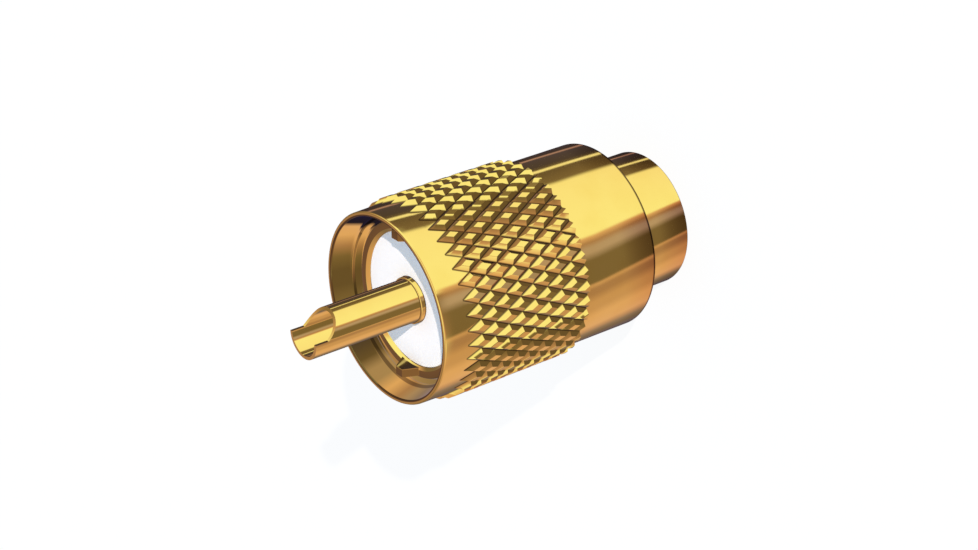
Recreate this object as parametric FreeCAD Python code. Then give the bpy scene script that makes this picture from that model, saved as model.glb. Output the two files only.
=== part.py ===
import FreeCAD, Part
import math
import os

from FreeCAD import Vector

# Coaxial plug of the UHF size, with a clamp for the cable. It stands on its cable end:
# the origin is the centre of the rear face, and +Z runs along the axis to the centre pin.
# All sizes are in millimetres. Angles about the axis are in degrees from +X.

# Coupling thread, 5/8 inch with 24 turns to the inch, which sizes the ring and the body
thread_major_d = 15.84
thread_depth = 0.47
lead_in_length = 1.8
thread_run_in = 0.8

# Clearances
ring_over_flange = 0.15
running_gap = 0.1
seat_gap = 0.05
press_slip = 0.01
thread_gap = 0.05

# Body, turned in one piece: barrel, neck and front flange with two locating tabs
barrel_length = 8.13
barrel_step = 2.39
barrel_rear_chamfer = 0.15
neck_length = 8.0
neck_wall = 1.45
flange_length = 5.1
flange_step = 0.9
flange_edge_chamfer = 0.15
pocket_wall = 0.97
pocket_floor = 0.7
insulator_setback = 0.3
insulator_lead_in = 0.27
tab_base_width = 2.6
tab_top_width = 0.9
tab_height = 1.3
tab_angle = -32.2

# Clamp nut, whose plain collar is the rear end of the plug
collar_length = 6.07
collar_step = 1.455
collar_rear_chamfer = 0.12
cable_mouth_chamfer = 0.5
nut_wall = 1.65

# Coupling ring
ring_wall = 0.94
band_length = 2.38
rim_width = 0.41
rear_lip_length = 1.4

# Diamond knurl: teeth round the ring, the rows half a tooth apart
knurl_rise = 0.485
knurl_root_step = 0.05
knurl_teeth = 40
knurl_half_pitch = 1.485
knurl_flat_share = 0.47
knurl_angle = -86.5

# Snap ring in the coupling ring's groove, which holds the ring on the neck
snap_thickness = 1.0
snap_section = 1.5
snap_gap_angle = 30.0

# Front insulator, centre pin and rear insulator
insulator_spigot_wall = 1.83
insulator_spigot_length = 2.9
pin_d = 4.0
pin_wall = 0.3
pin_reach = 11.47
pin_shank_step = 0.17
pin_shoulder_length = 0.45
pin_flange_step = 0.93
pin_flange_length = 0.6
bead_length = 2.4

# Scoop at the pin's tip: half of the tube cut away, then a cutter's arc up to full round
scoop_flat_length = 1.31
scoop_arc_length = 1.46
scoop_cutter_r = 4.6
scoop_angle = -31.0

# Braid clamp, gasket and washer behind the rear insulator
clamp_rim_length = 1.5
clamp_seat_depth = 0.7
gasket_length = 2.6
washer_thickness = 0.6

# Places along the axis that several pieces share
barrel_rear_z = collar_length
barrel_front_z = barrel_rear_z + barrel_length
flange_rear_z = barrel_front_z + neck_length
flange_front_z = flange_rear_z + flange_length
ring_rear_z = barrel_front_z + seat_gap
ring_front_z = flange_front_z + thread_run_in + lead_in_length
insulator_face_z = flange_front_z - insulator_setback
insulator_seat_z = flange_rear_z + pocket_floor
spigot_rear_z = insulator_seat_z - insulator_spigot_length
pin_flange_rear_z = spigot_rear_z - pin_flange_length
clamp_seat_z = pin_flange_rear_z - bead_length
pin_tip_z = insulator_face_z + pin_reach
clamp_rear_z = clamp_seat_z - clamp_rim_length
gasket_nose_z = clamp_rear_z + clamp_seat_depth
washer_front_z = clamp_rear_z - gasket_length
nut_front_z = washer_front_z - washer_thickness
groove_rear_z = ring_rear_z + rear_lip_length
groove_front_z = groove_rear_z + snap_thickness + 2 * seat_gap

# Radii that several pieces share, from the thread inwards to the cable and outwards to the knurl
major_r = thread_major_d / 2
minor_r = major_r - thread_depth
flange_r = minor_r - ring_over_flange
pocket_r = flange_r - pocket_wall + press_slip
neck_r = flange_r - flange_step
barrel_r = neck_r + barrel_step
nut_shank_r = neck_r - neck_wall
clamp_bore_r = nut_shank_r + thread_gap
collar_r = nut_shank_r + collar_step
cable_r = nut_shank_r - nut_wall
pin_r = pin_d / 2
pin_bore_r = pin_r - pin_wall
pin_shank_r = pin_r + pin_shank_step
pin_hole_r = pin_shank_r + press_slip
spigot_r = pin_shank_r + insulator_spigot_wall
snap_inner_r = neck_r + running_gap
snap_outer_r = snap_inner_r + snap_section
groove_r = snap_outer_r + running_gap
band_r = major_r + ring_wall
knurl_root_r = band_r + knurl_root_step
knurl_crest_r = band_r + knurl_rise

AXIS = Vector(0, 0, 1)
ORIGIN = Vector(0, 0, 0)
REACH = 4 * (knurl_crest_r + pin_tip_z)
SAME_POINT = 1e-6
SAME_LEVEL = 1e-9


def profile_face(corners):
    """Closed profile in the XZ plane. A corner is (radius, z) or (radius, z, chamfer)."""
    points = []
    count = len(corners)
    for i, corner in enumerate(corners):
        here = Vector(corner[0], 0, corner[1])
        if len(corner) == 2:
            points.append(here)
            continue
        before = Vector(corners[i - 1][0], 0, corners[i - 1][1]) - here
        after = Vector(corners[(i + 1) % count][0], 0, corners[(i + 1) % count][1]) - here
        points.append(here + before.normalize() * corner[2])
        points.append(here + after.normalize() * corner[2])
    return Part.Face(Part.makePolygon(points + points[:1]))


def turned(corners):
    """Solid of revolution about the axis."""
    return profile_face(corners).revolve(ORIGIN, AXIS, 360)


def at_angle(shape, degrees):
    """A copy of the shape, turned about the axis."""
    copy = shape.copy()
    copy.rotate(ORIGIN, AXIS, degrees)
    return copy


def sector(angle, middle):
    """Wedge of space about the axis, as wide as the angle, to cut or keep a part of a ring."""
    half = math.radians(angle / 2)
    corners = [
        ORIGIN,
        Vector(REACH * math.cos(half), -REACH * math.sin(half), 0),
        Vector(REACH * math.cos(half), REACH * math.sin(half), 0),
        ORIGIN,
    ]
    wedge = Part.Face(Part.makePolygon(corners)).extrude(AXIS * 2 * REACH)
    wedge.translate(-AXIS * REACH)
    return at_angle(wedge, middle)


def locating_tab():
    """One tab on the flange's front face, at +X: the wall of the pocket carried forwards.

    Its two sides lean inwards from the base to the narrower top.
    """
    outer_r = flange_r - flange_edge_chamfer
    top_z = flange_front_z + tab_height
    wall = turned([
        (pocket_r, insulator_face_z),
        (outer_r, insulator_face_z),
        (outer_r, top_z),
        (pocket_r, top_z),
    ])
    corners = [
        Vector(0, -tab_base_width / 2, insulator_face_z),
        Vector(0, tab_base_width / 2, insulator_face_z),
        Vector(0, tab_base_width / 2, flange_front_z),
        Vector(0, tab_top_width / 2, top_z),
        Vector(0, -tab_top_width / 2, top_z),
        Vector(0, -tab_base_width / 2, flange_front_z),
    ]
    outline = Part.Face(Part.makePolygon(corners + corners[:1]))
    return wall.common(outline.extrude(Vector(REACH, 0, 0)))


def make_plug_body():
    """Barrel, neck and flange in one turned piece, bored from both ends."""
    bead_bore_r = spigot_r + press_slip
    body = turned([
        (clamp_bore_r, barrel_rear_z),
        (barrel_r, barrel_rear_z, barrel_rear_chamfer),
        (barrel_r, barrel_front_z),
        (neck_r, barrel_front_z),
        (neck_r, flange_rear_z),
        (flange_r, flange_rear_z),
        (flange_r, flange_front_z - flange_edge_chamfer),
        (flange_r - flange_edge_chamfer, flange_front_z),
        (pocket_r + insulator_lead_in, flange_front_z),
        (pocket_r, insulator_face_z),
        (pocket_r, insulator_seat_z),
        (bead_bore_r, insulator_seat_z),
        (bead_bore_r, clamp_seat_z),
        (clamp_bore_r, clamp_seat_z),
    ])
    tab = locating_tab()
    return body.fuse([at_angle(tab, tab_angle), at_angle(tab, tab_angle + 180)]).removeSplitter()


def make_insulator():
    """White front insulator: a head that fills the pocket and a spigot behind it."""
    head_r = pocket_r - press_slip
    return turned([
        (pin_hole_r, spigot_rear_z),
        (spigot_r, spigot_rear_z),
        (spigot_r, insulator_seat_z),
        (head_r, insulator_seat_z),
        (head_r, insulator_face_z),
        (pin_hole_r, insulator_face_z),
    ])


def make_rear_insulator():
    """Bead that closes the bore behind the pin's flange."""
    return turned([
        (pin_hole_r, clamp_seat_z),
        (spigot_r, clamp_seat_z),
        (spigot_r, pin_flange_rear_z),
        (pin_hole_r, pin_flange_rear_z),
    ])


def scoop_cutter():
    """Space that the scoop takes out of the tip, open towards +X."""
    flat_end_z = pin_tip_z - scoop_flat_length
    arc_end_z = flat_end_z - scoop_arc_length
    start = Vector(0, 0, flat_end_z)
    end = Vector(pin_r, 0, arc_end_z)
    chord = end - start
    middle = (start + end) * 0.5
    sagitta = scoop_cutter_r - math.sqrt(scoop_cutter_r ** 2 - (chord.Length / 2) ** 2)
    outwards = Vector(-chord.z, 0, chord.x).normalize()
    if outwards.z > 0:
        outwards = outwards * -1
    bulge = middle + outwards * sagitta
    beyond_tip = Vector(0, 0, pin_tip_z + pin_d)
    beyond_corner = Vector(pin_d, 0, pin_tip_z + pin_d)
    beside_pin = Vector(pin_d, 0, arc_end_z)
    edges = [
        Part.makeLine(beyond_tip, start),
        Part.Arc(start, bulge, end).toShape(),
        Part.makeLine(end, beside_pin),
        Part.makeLine(beside_pin, beyond_corner),
        Part.makeLine(beyond_corner, beyond_tip),
    ]
    cutter = Part.Face(Part.Wire(edges)).extrude(Vector(0, 2 * pin_d, 0))
    cutter.translate(Vector(0, -pin_d, 0))
    return at_angle(cutter, scoop_angle)


def make_centre_pin():
    """Hollow pin with a flange between the two insulators and a scooped tip."""
    collar_outer_r = pin_shank_r + pin_flange_step
    shoulder_z = insulator_face_z + pin_shoulder_length
    pin = turned([
        (pin_bore_r, clamp_seat_z),
        (pin_shank_r, clamp_seat_z),
        (pin_shank_r, pin_flange_rear_z),
        (collar_outer_r, pin_flange_rear_z),
        (collar_outer_r, spigot_rear_z),
        (pin_shank_r, spigot_rear_z),
        (pin_shank_r, shoulder_z),
        (pin_r, shoulder_z),
        (pin_r, pin_tip_z),
        (pin_bore_r, pin_tip_z),
    ])
    return pin.cut(scoop_cutter())


def make_braid_clamp():
    """Ferrule that presses the braid to the body's step, hollowed at the rear for the gasket."""
    return turned([
        (cable_r, gasket_nose_z),
        (nut_shank_r, clamp_rear_z),
        (nut_shank_r, clamp_seat_z),
        (cable_r, clamp_seat_z),
    ])


def make_gasket():
    """Rubber ring whose cone the clamp's hollow squeezes onto the cable."""
    return turned([
        (cable_r, washer_front_z),
        (nut_shank_r, washer_front_z),
        (nut_shank_r, clamp_rear_z),
        (cable_r, gasket_nose_z),
    ])


def make_thrust_washer():
    """Flat washer between the nut and the gasket."""
    return turned([
        (cable_r, nut_front_z),
        (nut_shank_r, nut_front_z),
        (nut_shank_r, washer_front_z),
        (cable_r, washer_front_z),
    ])


def make_clamp_nut():
    """Nut whose shank screws into the barrel and whose collar takes the cable."""
    return turned([
        (cable_r + cable_mouth_chamfer, 0),
        (collar_r, 0, collar_rear_chamfer),
        (collar_r, collar_length),
        (nut_shank_r, collar_length),
        (nut_shank_r, nut_front_z),
        (cable_r, nut_front_z),
        (cable_r, cable_mouth_chamfer),
    ])


def make_snap_ring():
    """Split ring of square-edged wire that runs on the neck inside the ring's groove."""
    rear_z = groove_rear_z + seat_gap
    front_z = rear_z + snap_thickness
    whole = turned([
        (snap_inner_r, rear_z),
        (snap_outer_r, rear_z),
        (snap_outer_r, front_z),
        (snap_inner_r, front_z),
    ])
    return whole.cut(sector(snap_gap_angle, 90))


def clip_polygon(points, z_limit):
    """The part of a flat polygon above a level plane."""
    kept = []
    for i, here in enumerate(points):
        after = points[(i + 1) % len(points)]
        here_in = here.z >= z_limit
        after_in = after.z >= z_limit
        if here_in:
            kept.append(here)
        if here_in != after_in:
            share = (z_limit - here.z) / (after.z - here.z)
            crossing = here + (after - here) * share
            kept.append(Vector(crossing.x, crossing.y, z_limit))
    distinct = []
    for i, point in enumerate(kept):
        if point.distanceToPoint(kept[i - 1]) > SAME_POINT:
            distinct.append(point)
    return distinct if len(distinct) > 2 else []


def tooth_facets(z):
    """The five faces of one knurl tooth at +X: a flat rhombus top and four flanks.

    Its foot has its corners where the grooves cross, on the root cylinder. The top is tangent
    to the crest cylinder, and its side corners lie where they keep all four flanks flat.
    """
    depth = knurl_crest_r - knurl_root_r
    half_turn = math.pi / knurl_teeth
    half_width = knurl_root_r * math.sin(half_turn)
    drop = knurl_root_r * (1 - math.cos(half_turn))
    top_length = knurl_flat_share * knurl_half_pitch
    spread = knurl_half_pitch * depth + drop * (knurl_half_pitch - top_length)
    top_width = half_width * depth * top_length / spread
    foot = [
        Vector(knurl_root_r, 0, z + knurl_half_pitch),
        Vector(knurl_root_r - drop, half_width, z),
        Vector(knurl_root_r, 0, z - knurl_half_pitch),
        Vector(knurl_root_r - drop, -half_width, z),
    ]
    top = [
        Vector(knurl_crest_r, 0, z + top_length),
        Vector(knurl_crest_r, top_width, z),
        Vector(knurl_crest_r, 0, z - top_length),
        Vector(knurl_crest_r, -top_width, z),
    ]
    flanks = [[foot[i], foot[(i + 1) % 4], top[(i + 1) % 4], top[i]] for i in range(4)]
    return [top] + flanks


def land_facet(z):
    """Smooth facet at +X between the band and the feet of two first teeth."""
    half_turn = math.pi / knurl_teeth
    side_x = knurl_root_r * math.cos(half_turn)
    half_width = knurl_root_r * math.sin(half_turn)
    return [
        Vector(side_x, half_width, z),
        Vector(knurl_root_r, 0, z - knurl_half_pitch),
        Vector(side_x, -half_width, z),
    ]


def knurl_polygons(rear_z, front_z):
    """All facets of the knurl, each as a list of corners.

    Row 0 has no teeth: its facets lie between the front corners of the first teeth and carry
    the band on. The last rows are cut off at the rear plane.
    """
    rows = int(math.ceil((front_z - rear_z) / knurl_half_pitch)) + 1
    step = 2 * math.pi / knurl_teeth
    polygons = []
    for row in range(rows):
        z = front_z - row * knurl_half_pitch
        row_facets = []
        for facet in (tooth_facets(z) if row else [land_facet(z)]):
            facet = clip_polygon(facet, rear_z)
            if facet:
                row_facets.append(facet)
        start = math.radians(knurl_angle) + (step / 2 if row % 2 else 0)
        for tooth in range(knurl_teeth):
            angle = start + tooth * step
            cosine, sine = math.cos(angle), math.sin(angle)
            for facet in row_facets:
                polygons.append([
                    Vector(p.x * cosine - p.y * sine, p.x * sine + p.y * cosine, p.z)
                    for p in facet
                ])
    return polygons


def end_outline(polygons, z):
    """The closed outline that the knurl's facets leave on an end plane."""
    edges = []
    for points in polygons:
        for i, here in enumerate(points):
            after = points[(i + 1) % len(points)]
            if abs(here.z - z) < SAME_LEVEL and abs(after.z - z) < SAME_LEVEL:
                edges.append(Part.makeLine(here, after))
    return Part.Wire(Part.__sortEdges__(edges))


def level_ring(outline, hole_r, z):
    """Flat face between an outline and a round hole."""
    hole = Part.Wire(Part.Circle(Vector(0, 0, z), AXIS, hole_r).toShape())
    return Part.makeFace([outline, hole], "Part::FaceMakerBullseye")


def ring_bore_profile():
    """(radius, z) corners of the ring's bore, from its rear face forwards to the rim."""
    return [
        (minor_r, ring_rear_z),
        (minor_r, groove_rear_z),
        (groove_r, groove_rear_z),
        (groove_r, groove_front_z),
        (minor_r, groove_front_z),
        (minor_r, ring_front_z - lead_in_length - thread_run_in),
        (major_r, ring_front_z - lead_in_length),
        (band_r - rim_width, ring_front_z),
    ]


def make_coupling_ring():
    """Knurled ring: the bore and the plain band are turned, the knurl is faceted."""
    knurl_front_z = ring_front_z - band_length
    bore = ring_bore_profile()
    outline = bore + [
        (band_r, ring_front_z),
        (band_r, knurl_front_z),
    ]
    corners = [Vector(r, 0, z) for r, z in outline]
    edges = [Part.makeLine(a, b) for a, b in zip(corners, corners[1:])]
    turned_skin = Part.Wire(edges).revolve(ORIGIN, AXIS, 360)

    polygons = knurl_polygons(ring_rear_z, knurl_front_z)
    facets = [Part.Face(Part.makePolygon(points + points[:1])) for points in polygons]
    front = level_ring(end_outline(polygons, knurl_front_z), band_r, knurl_front_z)
    rear = level_ring(end_outline(polygons, ring_rear_z), bore[0][0], ring_rear_z)
    shell = Part.makeShell(turned_skin.Faces + facets + [front, rear])
    solid = Part.makeSolid(shell)
    if solid.Volume < 0:
        solid.reverse()
    return solid


NODES = {
    "coupling_ring": make_coupling_ring,
    "snap_ring": make_snap_ring,
    "plug_body": make_plug_body,
    "front_insulator": make_insulator,
    "centre_pin": make_centre_pin,
    "rear_insulator": make_rear_insulator,
    "braid_clamp": make_braid_clamp,
    "gasket": make_gasket,
    "thrust_washer": make_thrust_washer,
    "clamp_nut": make_clamp_nut,
}

os.makedirs("parts", exist_ok=True)
for name, make in NODES.items():
    shape = make()
    solids = shape.Solids
    if len(solids) == 1:
        shape = solids[0]
    print(name, "solids", len(solids), "valid", shape.isValid(), "volume", round(shape.Volume, 2))
    shape.exportStep("parts/" + name + ".step")
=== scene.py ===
"""Looks of a gold-plated coaxial plug: fine surfaces, finishes, studio and camera.

The plug stands on its cable end, with its axis on +Z. Sizes are written in millimetres, as on a
drawing, and turned into metres by MM. The rest is worked out from them and from the frame.
"""

import logging
from dataclasses import dataclass, field
from enum import Enum

import bmesh
import bpy
import numpy as np
from mathutils import Matrix, Vector


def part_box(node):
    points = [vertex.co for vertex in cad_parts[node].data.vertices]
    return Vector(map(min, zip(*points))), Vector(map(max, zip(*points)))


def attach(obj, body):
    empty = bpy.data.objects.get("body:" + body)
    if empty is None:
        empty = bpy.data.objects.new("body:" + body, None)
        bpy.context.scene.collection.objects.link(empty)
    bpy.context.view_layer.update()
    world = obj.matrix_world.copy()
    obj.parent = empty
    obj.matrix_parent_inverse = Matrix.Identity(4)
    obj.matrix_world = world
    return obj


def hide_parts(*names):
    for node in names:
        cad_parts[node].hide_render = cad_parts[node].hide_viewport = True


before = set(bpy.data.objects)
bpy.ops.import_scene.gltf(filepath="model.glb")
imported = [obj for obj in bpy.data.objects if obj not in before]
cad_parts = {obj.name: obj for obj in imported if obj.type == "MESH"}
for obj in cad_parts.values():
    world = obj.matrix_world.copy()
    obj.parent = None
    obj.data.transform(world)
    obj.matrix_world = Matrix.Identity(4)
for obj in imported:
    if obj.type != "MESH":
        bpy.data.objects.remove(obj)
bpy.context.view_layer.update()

MM = 0.001
TURN = 2 * np.pi
SHARP_ANGLE = np.radians(20)
ROUND_STEPS = 6
WELD = 1e-8
SOFT = 0.03 * MM
GOLD = (0.99, 0.80, 0.20)
GOLD_SHADE = (0.96, 0.75, 0.17)
# Painted shade: the dark colour blended into the base colour where light is kept out.
PAINTED_SHADE = (0.1, 0.055, 0.02)
Colour = tuple[float, float, float]
Corner = tuple[float, ...]
log = logging.getLogger("plug")


class Body(Enum):
    """The bodies that pieces ride on."""

    BODY = "body"
    SNAP_RING = "snap_ring"
    RING = "coupling_ring"


class Slot(Enum):
    """The kinds of finish."""

    GOLD = "gold_plate"
    WIRE = "snap_wire"
    INSULATOR = "insulator"
    GASKET = "gasket"
    WASHER = "washer"


@dataclass
class Skin:
    """A surface as arrays: points, and faces of four or three corners."""

    points: np.ndarray
    quads: np.ndarray = field(default_factory=lambda: np.zeros((0, 4), int))
    triangles: np.ndarray = field(default_factory=lambda: np.zeros((0, 3), int))

    def __add__(self, other: "Skin") -> "Skin":
        """Both surfaces as one, with the second one's corners renumbered.

        Args:
            other: the second surface.

        Returns:
            The surface of both.
        """
        shift = len(self.points)
        return Skin(
            np.vstack([self.points, other.points]),
            np.vstack([self.quads, other.quads + shift]),
            np.vstack([self.triangles, other.triangles + shift]),
        )

    def welded(self) -> "Skin":
        """The same surface with points that coincide made one.

        A quad with a corner equal to its next one becomes a triangle, and a face without any width
        left is dropped.

        Returns:
            The surface.
        """
        keys = np.round(self.points / WELD).astype(np.int64)
        _, first, index = np.unique(keys, axis=0, return_index=True, return_inverse=True)
        index = index.reshape(-1)
        quads, triangles = index[self.quads], index[self.triangles]
        double = quads == np.roll(quads, -1, axis=1)
        slim = double.sum(axis=1) == 1
        triangles = np.vstack([triangles, quads[slim][~double[slim]].reshape(-1, 3)])
        wide = (triangles != np.roll(triangles, -1, axis=1)).all(axis=1)
        return Skin(self.points[first], quads[~double.any(axis=1)], triangles[wide])

    def raw(self, name: str) -> bpy.types.Mesh:
        """The surface as a bare mesh.

        Args:
            name: what the mesh is called.

        Returns:
            The mesh.
        """
        made = bpy.data.meshes.new(name)
        made.from_pydata(self.points.tolist(), [], self.quads.tolist() + self.triangles.tolist())
        return made

    def mesh(self, name: str) -> bpy.types.Mesh:
        """The closed surface as a finished mesh.

        Args:
            name: what the mesh is called.

        Returns:
            The mesh, with its faces turned outwards and its edges sharp past SHARP_ANGLE.
        """
        made = self.raw(name)
        work = bmesh.new()
        work.from_mesh(made)
        bmesh.ops.recalc_face_normals(work, faces=work.faces)
        work.to_mesh(made)
        work.free()
        made.polygons.foreach_set("use_smooth", np.ones(len(made.polygons), bool))
        made.set_sharp_from_angle(angle=SHARP_ANGLE)
        made.update()
        return made

    def open_edges(self) -> int:
        """How many edges don't have exactly two faces.

        Returns:
            Their number.
        """
        sides = [self.quads[:, [i, (i + 1) % 4]] for i in range(4)]
        sides += [self.triangles[:, [i, (i + 1) % 3]] for i in range(3)]
        _, count = np.unique(np.sort(np.vstack(sides), axis=1), axis=0, return_counts=True)
        return int((count != 2).sum())


def round_angles(segments: int) -> np.ndarray:
    """The angles of equal steps round the axis."""
    return np.arange(segments) * TURN / segments


def spun(radius: np.ndarray | float, angle: np.ndarray, z: np.ndarray | float) -> np.ndarray:
    """Points about the axis, each (radius cos angle, radius sin angle, z)."""
    return np.stack(np.broadcast_arrays(radius * np.cos(angle), radius * np.sin(angle), z), axis=-1)


def around(outline: np.ndarray, angles: np.ndarray) -> np.ndarray:
    """An outline of (radius, z) turned about the axis: a row for each point, a column for each angle."""
    return spun(outline[:, :1], angles, outline[:, 1:])


def rounded(corners: list[Corner], closed: bool = True) -> np.ndarray:
    """An outline with its corners rounded.

    A corner's arc touches both of its sides: it starts and ends one tangent length, which is the radius
    over the tangent of half the corner's angle, from the corner, about a centre on the bisector.

    Args:
        corners: (radius from the axis, z) or (radius from the axis, z, rounding) in millimetres.
        closed: whether the last corner joins the first.

    Returns:
        (radius, z) of each point, in metres.
    """
    spots = np.array([corner[:2] for corner in corners]) * MM
    out = []
    for i, corner in enumerate(corners):
        if len(corner) < 3 or not (closed or 0 < i < len(corners) - 1):
            out.append(spots[i][None])
            continue
        before, after = spots[i - 1] - spots[i], spots[(i + 1) % len(corners)] - spots[i]
        before /= np.linalg.norm(before)
        after /= np.linalg.norm(after)
        half = np.arccos(np.clip(before @ after, -1, 1)) / 2
        radius = corner[2] * MM
        bisector = (before + after) / np.linalg.norm(before + after)
        centre = spots[i] + bisector * radius / np.sin(half)
        start = spots[i] + before * radius / np.tan(half) - centre
        end = spots[i] + after * radius / np.tan(half) - centre
        sweep = np.pi - 2 * half
        share = np.linspace(0, 1, ROUND_STEPS + 1)[:, None]
        arc = (np.sin((1 - share) * sweep) * start + np.sin(share * sweep) * end) / np.sin(sweep)
        out.append(centre + arc)
    return np.vstack(out)


def grid(points: np.ndarray, round_rows: bool, round_columns: bool) -> Skin:
    """The quads between neighbours of a grid of points.

    Args:
        points: rows by columns by three.
        round_rows: whether the last row joins the first.
        round_columns: whether the last column joins the first.

    Returns:
        The grid as a surface.
    """
    rows, columns = points.shape[:2]
    number = np.arange(rows * columns).reshape(rows, columns)
    right = np.roll(number, -1, axis=1)
    down = np.roll(number, -1, axis=0)
    across = np.roll(right, -1, axis=0)
    quads = np.stack([number, right, across, down], axis=-1)
    quads = quads[: rows if round_rows else rows - 1, : columns if round_columns else columns - 1]
    return Skin(points.reshape(-1, 3), quads.reshape(-1, 4))


def turned(corners: list[Corner], segments: int = 256) -> Skin:
    """A closed outline, given as for rounded, turned once about the axis."""
    return grid(around(rounded(corners), round_angles(segments)), True, True)


def capped(points: np.ndarray) -> Skin:
    """A closed outline carried along a path, with a fan of triangles over each end.

    Args:
        points: a row for each of the outline's points and a column for each step of the path.

    Returns:
        The closed surface.
    """
    rows, columns = points.shape[:2]
    rim = np.arange(rows) * columns
    fan = np.stack([np.full(rows - 2, rim[0]), rim[1:-1], rim[2:]], axis=-1)
    wall = grid(points, True, False)
    return Skin(wall.points, wall.quads, np.vstack([fan, fan + columns - 1]))


def zipped(first: np.ndarray, second: np.ndarray) -> Skin:
    """The band of triangles between two closed loops about the axis, whose points need not match.

    Both loops are walked together in order of angle. Each step takes the next point of either loop and
    makes a triangle of it, the point before it on its own loop and the last point of the other loop.

    Args:
        first: the points of one loop.
        second: the points of the other.

    Returns:
        The band as a surface.
    """
    loops = []
    for loop in (first, second):
        angle = np.arctan2(loop[:, 1], loop[:, 0]) % TURN
        order = np.argsort(angle)
        loops.append((loop[order], angle[order]))
    (a, angle_a), (b, angle_b) = loops
    to_b = np.searchsorted(angle_b, angle_a, side="right") - 1
    to_a = np.searchsorted(angle_a, angle_b, side="left") - 1
    index_a, index_b = np.arange(len(a)), np.arange(len(b))
    steps_a = np.stack([index_a, (index_a - 1) % len(a), to_b % len(b) + len(a)], axis=-1)
    steps_b = np.stack([index_b + len(a), (index_b - 1) % len(b) + len(a), to_a % len(a)], axis=-1)
    return Skin(np.vstack([a, b]), triangles=np.vstack([steps_a, steps_b]))


def sliced(skin: Skin, low: float, high: float) -> tuple[Skin, np.ndarray, np.ndarray]:
    """The part of a surface between two levels.

    Args:
        skin: the surface, open at both ends and longer than the part.
        low: the lower level, in metres.
        high: the upper level.

    Returns:
        The part, and the loops of points that lie on the lower and on the upper level.
    """
    mesh = skin.raw("cut")
    work = bmesh.new()
    work.from_mesh(mesh)
    for level, way in ((low, -1), (high, 1)):
        bmesh.ops.bisect_plane(
            work, geom=work.verts[:] + work.edges[:] + work.faces[:], dist=WELD,
            plane_co=(0, 0, level), plane_no=(0, 0, way), clear_outer=True,
        )
    bmesh.ops.triangulate(work, faces=[face for face in work.faces if len(face.verts) > 4])
    work.to_mesh(mesh)
    work.free()
    points = np.zeros(len(mesh.vertices) * 3)
    mesh.vertices.foreach_get("co", points)
    points = points.reshape(-1, 3)
    corners = [list(face.vertices) for face in mesh.polygons]
    bpy.data.meshes.remove(mesh)
    ends = []
    for level in (low, high):
        on = np.abs(points[:, 2] - level) < 100 * WELD
        points[on, 2] = level
        ends.append(points[on])
    faces = [np.array([c for c in corners if len(c) == n], int).reshape(-1, n) for n in (4, 3)]
    return Skin(points, *faces), *ends


class Wire:
    """A shader value, on which Python's operators make Math nodes."""

    def __init__(self, sheet: "Sheet", socket: bpy.types.NodeSocket) -> None:
        """Wraps an output socket of a node on the sheet."""
        self.sheet = sheet
        self.socket = socket

    def math(self, operation: str, *others: "Wire | float", swapped: bool = False) -> "Wire":
        """This value and others through one Math node.

        Args:
            operation: the node's operation.
            others: the values of its other sockets.
            swapped: whether this value comes last.

        Returns:
            The node's result.
        """
        values = [*others, self] if swapped else [self, *others]
        return self.sheet.wire("ShaderNodeMath", {"operation": operation}, dict(enumerate(values)))

    def __add__(self, other: "Wire | float") -> "Wire":
        """The sum."""
        return self.math("ADD", other)

    def __sub__(self, other: "Wire | float") -> "Wire":
        """The difference."""
        return self.math("SUBTRACT", other)

    def __rsub__(self, other: float) -> "Wire":
        """The difference from a number."""
        return self.math("SUBTRACT", other, swapped=True)

    def __mul__(self, other: "Wire | float") -> "Wire":
        """The product."""
        return self.math("MULTIPLY", other)

    def __truediv__(self, other: "Wire | float") -> "Wire":
        """The quotient."""
        return self.math("DIVIDE", other)

    def __pow__(self, other: float) -> "Wire":
        """The power."""
        return self.math("POWER", other)

    __radd__ = __add__
    __rmul__ = __mul__

    def step(self, low: float, high: float) -> "Wire":
        """0 below low, 1 above high, and a smooth rise between them."""
        span = {"From Min": low, "From Max": high, "Value": self}
        return self.sheet.wire("ShaderNodeMapRange", {"interpolation_type": "SMOOTHSTEP"}, span)

    def within(self, low: float, high: float) -> "Wire":
        """1 between two levels in millimetres, and 0 outside them with a short smooth fall."""
        return self.step(low * MM - SOFT, low * MM) * (1 - self.step(high * MM, high * MM + SOFT))


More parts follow.
